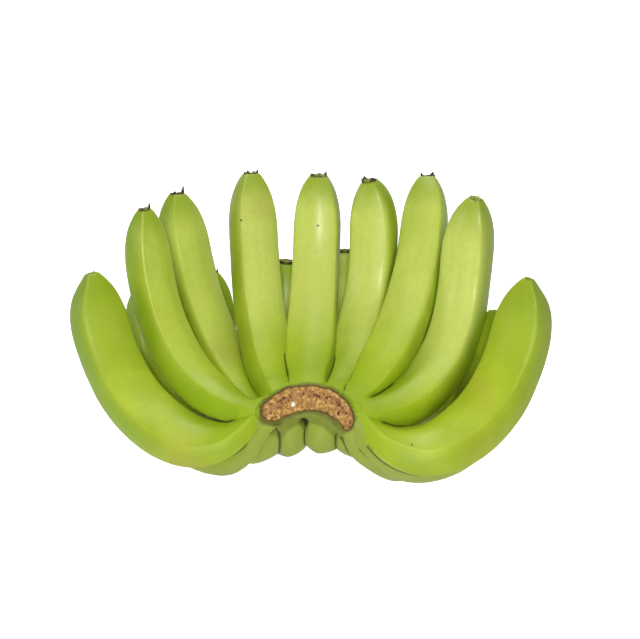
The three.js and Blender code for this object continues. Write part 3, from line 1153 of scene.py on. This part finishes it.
def makeSkin():
    material, tree, shader = newMaterial("waxy green peel")
    peelPlace = stored(tree, "peel")
    objectPlace = put(tree, "TexCoord").outputs["Object"]
    patterns = {
        **partsOf(tree, "growth", "along", "fromRidge", "crease"),
        **partsOf(tree, "shade", "pale", "ridgeLine", "grey"),
        **partsOf(tree, "sides", "lush", "inner"),
        **partsOf(tree, "markSize", "markSize"),
        **noisesOn(objectPlace, skin["noises"]),
        **noisesOn(stretchedBy(peelPlace, skin["drawing"]), skin["drawnOut"]),
        **cellsOn(objectPlace, skin["cellScale"]),
    }
    gap = distanceTo(peelPlace, stored(tree, "markPlace"))
    patterns["markGap"] = calculate("DIVIDE", gap, patterns["markSize"])
    addProducts(patterns, skin)
    colour = skin["lime"]
    for layers in ("layers", "neckLayers", "lastLayers"):
        colour = paintLayers(colour, patterns, skin, layers)
    fill(shader, {
        "Base Color": colour,
        "Roughness": between(patterns["along"], *skin["roughness"]),
        "Specular IOR Level": skin["gloss"],
        "Coat Weight": calculate("ADD", patterns["shine"], skin["coat"]),
        "Coat Roughness": skin["coatRoughness"],
        "Normal": bumpOf(patterns["fine"], *skin["bump"]),
    })
    return material


cork = {
    "tan": rgb(196, 150, 76),
    "orange": rgb(156, 108, 42),
    "pink": rgb(164, 110, 74),
    "pale": rgb(232, 198, 138),
    "rim": rgb(82, 60, 10),
    "strand": rgb(92, 52, 38),
    "collar": rgb(104, 104, 34),
    # painted shade for the furrows between the necks
    "furrowShade": rgb(40, 38, 12),
    "latex": rgb(240, 236, 222),
    # [scale, detail, roughness]
    "noises": {"ragged": (700, 3), "mottle": (260, 3), "pinkish": (160, 2), "fine": (1400, 3)},
    "onFace": {"blotches": (420, 4, 0.65), "wander": (800, 2)},
    "fibres": (900, 4),
    "fibreLength": (1, 0.3, 1),  # they run across the crescent
    "fleshLayers": [
        ["orange", "mottle", 0.38, 0.62],
        ["pale", "blotches", 0.5, 0.66, 0, 0.75],
        ["rim", "blotches", 0.48, 0.34, 0, 0.8],
        ["pale", "fibres", 0.5, 0.7, 0, 0.35],
        ["rim", "fibres", 0.46, 0.3, 0, 0.35],
        ["pink", "pinkish", 0.5, 0.64, 0, 0.55],
        ["pink", "pinkBand"],
        ["strand", "strands"],
        ["strand", "pits"],
        ["latex", "fleck"],
        ["rim", "rimEdge", 0.8 * mm, -0.5 * mm, 0, 0.7],
        ["rim", "inner", 1.6 * mm, 0.7 * mm],
    ],
    # a brown collar round the cut, and painted shade in the furrows between the necks
    "skinLayers": [["collar", "scorched", -4 * mm, -0.8 * mm], ["furrowShade", "furrow", 0.4, 0.75, 0, 0.95]],
    # dark strands, in a pinkish band along the upper middle of the crescent
    "products": {
        "band": [["out", -1 * mm, 0.6 * mm], ["out", 4.6 * mm, 3.2 * mm]],
        "strands": [["band"], ["cellGap", 0.5, 0.28], ["cellChance", 0.35, 0.42]],
        "pinkBand": [["band"], ["pinkness"]],
    },
    "pinkness": 0.3,
    "cellScale": 520,
    # [along the arc, out from it, size] in mm
    "fleck": [-10, -2.6, 2.2],
    "pits": [[22, -2.5, 1.7], [-25.3, -0.3, 1.2], [19.5, 2.6, 0.9], [-15, 2.2, 0.8], [5, 2.4, 0.9]],
    "spotEdge": (1.3, 0.9),
    "edge": (0.5 * mm, 0.8 * mm),
    "edgeRagged": 1.2 * mm,
    "rimWander": 3 * mm,
    "worn": (-19 * mm, -28 * mm),  # the brown round the cut is broader towards its left horn
    "wornBy": 1.5 * mm,
    "roughness": 0.85,
    "bump": (0.15, 0.8, 0.25 * mm),  # on the skin, on the cut, and its depth
}


def spotOn(onFace, wander, along, out, size):
    # 1 on a ragged spot of the cut, 0 round it
    gap = distanceTo(onFace, (along * mm, out * mm, 0))
    gap = calculate("ADD", gap, times(wander, size * mm))
    return between(gap, *(edge * size * mm for edge in cork["spotEdge"]))


def makeCrownSkin():
    material, tree, shader = newMaterial("cut crown")
    patterns = partsOf(tree, "cutPlace", "along", "out", "inside") | partsOf(tree, "shade", "furrow", "grey")
    objectPlace = put(tree, "TexCoord").outputs["Object"]
    onFace = put(tree, "CombineXYZ", {0: patterns["along"], 1: patterns["out"]}).outputs[0]
    patterns |= {
        **noisesOn(objectPlace, cork["noises"]),
        **noisesOn(onFace, cork["onFace"]),
        **cellsOn(onFace, cork["cellScale"]),
        "fibres": noiseOn(stretchedBy(onFace, cork["fibreLength"]), *cork["fibres"]),
        "pinkness": cork["pinkness"],
    }
    addProducts(patterns, cork)
    patterns["fleck"] = spotOn(onFace, patterns["wander"], *cork["fleck"])
    patterns["pits"] = 0
    for pit in cork["pits"]:
        patterns["pits"] = calculate("MAXIMUM", spotOn(onFace, patterns["wander"], *pit), patterns["pits"])
    inner = calculate("ADD", patterns["inside"], times(patterns["ragged"], cork["edgeRagged"]))
    rimEdge = calculate("SUBTRACT", inner, times(patterns["pinkish"], cork["rimWander"]))
    worn = between(patterns["along"], *cork["worn"], 0, cork["wornBy"])
    patterns |= {"inner": inner, "rimEdge": rimEdge, "scorched": calculate("ADD", rimEdge, worn)}
    flesh = paintLayers(cork["tan"], patterns, cork, "fleshLayers")
    # the crown's skin gets the same duller grey and painted shade under the cut as the necks
    green = paintLayers(skin["neckGreen"], patterns, skin, "neckLayers")
    green = paintLayers(green, patterns, cork, "skinLayers")
    isCut = between(inner, *cork["edge"])
    onSkin, onFlesh, depth = cork["bump"]
    neckRoughness = skin["roughness"][2]
    fill(shader, {
        "Base Color": blendColours(isCut, green, flesh),
        "Roughness": between(isCut, 0, 1, neckRoughness, cork["roughness"]),
        "Coat Weight": between(isCut, 0, 1, skin["coat"], 0),
        "Coat Roughness": skin["coatRoughness"],
        "Specular IOR Level": skin["gloss"],
        "Normal": bumpOf(patterns["fine"], between(isCut, 0, 1, onSkin, onFlesh), depth),
    })
    return material


driedSkin = {
    "dark": rgb(58, 40, 30),
    "brown": rgb(104, 72, 52),
    "dish": rgb(134, 146, 44),
    "noises": {"patches": (600, 4), "fine": (1500, 3)},
    "rimLayers": [["brown", "patches", 0.4, 0.7]],
    "dishLayers": [["brown", "patches", 0.52, 0.7]],
    "roughness": 0.85,
    "bump": (0.7, 0.3 * mm),
}


def makeDriedSkin():
    material, tree, shader = newMaterial("dried blossom")
    patterns = noisesOn(put(tree, "TexCoord").outputs["Object"], driedSkin["noises"])
    rim = paintLayers(driedSkin["dark"], patterns, driedSkin, "rimLayers")
    inDish = paintLayers(driedSkin["dish"], patterns, driedSkin, "dishLayers")
    fill(shader, {
        "Base Color": blendColours(partsOf(tree, "onRim", "onRim")["onRim"], inDish, rim),
        "Roughness": driedSkin["roughness"],
        "Normal": bumpOf(patterns["fine"], *driedSkin["bump"]),
    })
    return material


driedMaterial = makeDriedSkin()
for cup in driedEnds.values():
    cup.data.materials.append(driedMaterial)
crownBody.data.materials.append(makeCrownSkin())
peelMaterial = makeSkin()
for finger in fingers.values():
    finger.data.materials.append(peelMaterial)
print("peel painted")


# light, floor and camera

stage = {
    "white": (1, 1, 1, 1),
    "floorSize": 8,
    "floorColour": (0.9, 0.9, 0.9, 1),
    "floorRoughness": 0.9,
    "floorShine": 0.75,  # so much more is seen but doesn't light the hand
    "glowReach": (0.3, 2),  # the floor glows more towards its far edges
    "skyStrength": 0.02,
    "cameraPlace": (0.0078, -0.2474, 0.4858),
    "cameraDown": 58.13,
    "lens": 38.95,
    "clipStart": 10 * mm,
    "lightsAim": (0, 0, 0.05),
    "lights": {  # place, size and power
        "flash": ((0, -0.3, 0.6), 0.1, 1.65),
        "front soft box": ((0, -1, 0.4), 0.5, 4.2),
        "left soft box": ((-1, 0, 0.5), 0.5, 2.1),
        "right soft box": ((1, 0, 0.5), 0.5, 1.2),
        "back soft box": ((0, 1, 0.5), 0.5, 5.8),
        "high back soft box": ((0, 0.55, 0.95), 0.4, 2.4),
    },
}


def makeFloor():
    deselectAll()
    bpy.ops.mesh.primitive_plane_add(size=stage["floorSize"])
    floor = bpy.context.object
    floor.name = "floor"
    material, tree, shader = newMaterial("pale floor")
    place = put(tree, "TexCoord").outputs["Object"]
    distance = putAfter(place, "VectorMath", {0: place}, operation="LENGTH")["Value"]
    shine = times(put(tree, "LightPath").outputs["Is Camera Ray"], stage["floorShine"])
    fill(shader, {
        "Base Color": stage["floorColour"],
        "Roughness": stage["floorRoughness"],
        "Emission Color": stage["white"],
        "Emission Strength": calculate("ADD", between(distance, *stage["glowReach"]), shine),
    })
    floor.data.materials.append(material)


def makeCamera():
    bpy.ops.object.camera_add(
        location=stage["cameraPlace"], rotation=(math.radians(90 - stage["cameraDown"]), 0, 0))
    camera = bpy.context.object
    camera.data.lens = stage["lens"]
    camera.data.clip_start = stage["clipStart"]
    bpy.context.scene.camera = camera


def makeLight(name, place, size, power):
    bpy.ops.object.light_add(type="AREA", location=place)
    light = bpy.context.object
    light.name = name
    light.data.size = size
    light.data.energy = power
    light.rotation_euler = (Vector(place) - Vector(stage["lightsAim"])).to_track_quat("Z", "Y").to_euler()


def makeRoom():
    # it looks white and lights little
    world = bpy.data.worlds.new("pale room")
    bpy.context.scene.world = world
    world.use_nodes = True
    tree = world.node_tree
    seen = put(tree, "LightPath").outputs["Is Camera Ray"]
    strength = between(seen, 0, 1, stage["skyStrength"], 1)
    fill(tree.nodes["Background"], {"Color": stage["white"], "Strength": strength})


makeFloor()
makeCamera()
for name, (place, size, power) in stage["lights"].items():
    makeLight(name, place, size, power)
makeRoom()
bpy.context.scene.view_settings.view_transform = "Standard"
